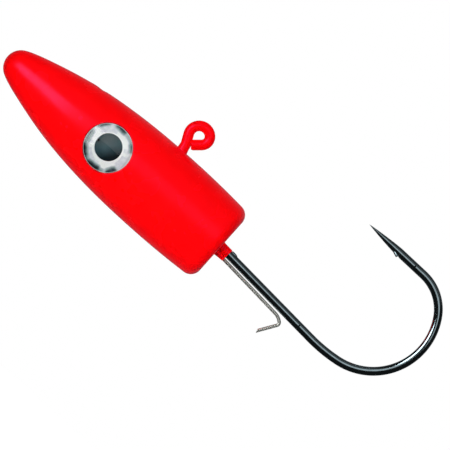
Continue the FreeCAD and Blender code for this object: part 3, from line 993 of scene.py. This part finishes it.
class JIG_OT_lead(bpy.types.Operator):
    """Give the cast head under the paint its lead finish"""

    bl_idname = "jig.lead"
    bl_label = "Cast lead"

    def execute(self, context):
        # gravity-cast lead alloy: dull grey with a fine sand-like skin
        skin = rough_solid("gravity_cast_lead", context.scene.jig_finish.lead, 0.8, 0.6, 0.6, 0.03)
        cad = frame["nodes"]["lead_head"]
        cad.data.materials.clear()
        cad.data.materials.append(skin)
        return {"FINISHED"}


def softbox(name, at, aim, wide, tall, glow, mirrored=True):
    """A rectangular area light at a place, facing another. Its power is glow times pi times its area, so glow
    is how bright its face looks. A fill isn't mirrored in the gloss. It goes without importance sampling too,
    because with it some of its gloss still shows."""
    lamp = bpy.data.lights.new(name, "AREA")
    lamp.shape = "RECTANGLE"
    lamp.size, lamp.size_y = wide, tall
    lamp.energy = glow * math.pi * wide * tall
    lamp.cycles.use_multiple_importance_sampling = mirrored
    made = bpy.data.objects.new(name, lamp)
    made.location = at
    made.rotation_euler = (Vector(aim) - Vector(at)).to_track_quat("-Z", "Y").to_euler()
    made.visible_glossy = mirrored
    made.visible_camera = False
    bpy.context.scene.collection.objects.link(made)


class JIG_OT_stage(bpy.types.Operator):
    """Set the plain floor, the soft light and the camera"""

    bl_idname = "jig.stage"
    bl_label = "Stage"

    def execute(self, context):
        scene = context.scene
        scene.view_settings.view_transform = "Standard"
        middle = (CAD_LOW + CAD_HIGH) / 2
        mesh = bpy.data.meshes.new("floor")
        reach, under = 2.0, CAD_LOW.z - 0.072
        angle = np.linspace(0, 2 * math.pi, 97)[:-1]
        rim = np.stack([reach * np.cos(angle), reach * np.sin(angle), np.full(96, under)], -1)
        mesh.from_pydata(rim.tolist(), [], [list(range(96))])
        floor = bpy.data.objects.new("floor", mesh)
        scene.collection.objects.link(floor)
        material, tree, out = new_material("matt_white_sweep")
        shader = node(tree, "ShaderNodeBsdfPrincipled", {
            "Base Color": rgba(scene.jig_finish.floor),
            "Roughness": 0.9,
            "Emission Color": (1, 1, 1, 1),
            "Emission Strength": 1.0,
        })
        tree.links.new(shader.outputs[0], out.inputs["Surface"])
        mesh.materials.append(material)
        floor.visible_glossy = False
        floor.visible_diffuse = False

        world = bpy.data.worlds.new("studio")
        scene.world = world
        world.use_nodes = True
        tree = world.node_tree
        tree.nodes.clear()
        way = node(tree, "ShaderNodeTexCoord").outputs["Generated"]
        split = node(tree, "ShaderNodeSeparateXYZ", links={"Vector": way})
        # the room is dim towards the camera and brightens behind the object and a little overhead
        lift = node(
            tree,
            "ShaderNodeMath",
            {1: 0.15},
            {0: split.outputs["Z"], 2: split.outputs["Y"]},
            operation="MULTIPLY_ADD",
        )
        behind = node(tree, "ShaderNodeMapRange", links={"Value": lift.outputs[0]})
        steep = node(tree, "ShaderNodeMath", {1: 2.0}, {0: behind.outputs["Result"]}, operation="POWER")
        glow = node(
            tree,
            "ShaderNodeMath",
            {1: 0.17, 2: 0.008},
            {0: steep.outputs[0]},
            operation="MULTIPLY_ADD",
        )
        # seen straight, it is plain white like the floor
        seen = node(tree, "ShaderNodeLightPath")
        level = node(
            tree,
            "ShaderNodeMix",
            {3: 1.0},
            {0: seen.outputs["Is Camera Ray"], 2: glow.outputs[0]},
            data_type="FLOAT",
        )
        back = node(tree, "ShaderNodeBackground", {"Color": (1, 1, 1, 1)}, {"Strength": level.outputs[0]})
        tree.links.new(back.outputs[0], node(tree, "ShaderNodeOutputWorld").inputs["Surface"])

        aim = (middle.x, 0, middle.z)
        # the key is brightest towards the nose, and a second, dimmer panel carries it on over the hook
        softbox("key_nose", (middle.x - 0.38, -0.47, middle.z + 0.01), aim, 0.28, 0.34, 3.6)
        softbox("key_hook", (middle.x + 0.02, -0.53, middle.z + 0.16), aim, 0.5, 0.28, 0.48)
        # broad fills from both sides, above and below light the colours and aren't mirrored in the gloss
        for side in (-1, 1):
            softbox("fill", (middle.x, side * 0.6, middle.z + 0.05), aim, 1.0, 0.9, 1.75, False)
        softbox("fill_over", (middle.x, 0, middle.z + 0.6), aim, 1.0, 0.8, 0.9, False)
        softbox("fill_under", (middle.x, -0.02, middle.z - 0.08), aim, 0.3, 0.26, 1.1, False)
        softbox("sky", (middle.x, -0.35, middle.z + 0.5), aim, 0.9, 0.4, 0.07)

        camera = bpy.data.objects.new("camera", bpy.data.cameras.new("camera"))
        # a long lens from afar, square on to the left side, rolled so that the nose points up to the left
        camera.data.lens = 1200
        camera.data.sensor_width = 36
        camera.data.clip_start, camera.data.clip_end = 0.1, 10
        along = Vector((0.7459, 0, 0.6660))
        up = Vector((-0.6660, 0, 0.7459))
        back_way = along.cross(up)
        at = middle + Vector((0.00402, -3.0, -0.00353))
        turn = Matrix((along, up, back_way)).transposed().to_4x4()
        camera.matrix_world = Matrix.Translation(at) @ turn
        scene.collection.objects.link(camera)
        scene.camera = camera
        return {"FINISHED"}


class JIG_PT_pieces(bpy.types.Panel):
    """List the operators, and the sizes and colours that they use"""

    bl_label = "Jig head"
    bl_space_type = "VIEW_3D"
    bl_region_type = "UI"
    bl_category = "Jig head"

    def draw(self, context):
        for operator in OPERATORS:
            self.layout.operator(operator.bl_idname)
        for group in GROUPS:
            for field in getattr(context.scene, group).__annotations__:
                self.layout.prop(getattr(context.scene, group), field)


OPERATORS = (JIG_OT_lead, JIG_OT_paint, JIG_OT_hook, JIG_OT_keeper, JIG_OT_eyes, JIG_OT_stage)
GROUPS = {"jig_body": JigBodySizes, "jig_wire": JigWireSizes, "jig_finish": JigFinishes}


def register():
    for made in (*GROUPS.values(), *OPERATORS, JIG_PT_pieces):
        bpy.utils.register_class(made)
    for name, group in GROUPS.items():
        setattr(bpy.types.Scene, name, PointerProperty(type=group))


def unregister():
    for name in GROUPS:
        delattr(bpy.types.Scene, name)
    for made in (JIG_PT_pieces, *OPERATORS, *GROUPS.values()):
        bpy.utils.unregister_class(made)


def build_all():
    register()
    bpy.ops.jig.lead()
    bpy.ops.jig.paint()
    bpy.ops.jig.hook()
    bpy.ops.jig.keeper()
    bpy.ops.jig.eyes()
    bpy.ops.jig.stage()


if __name__ == "__main__":
    build_all()
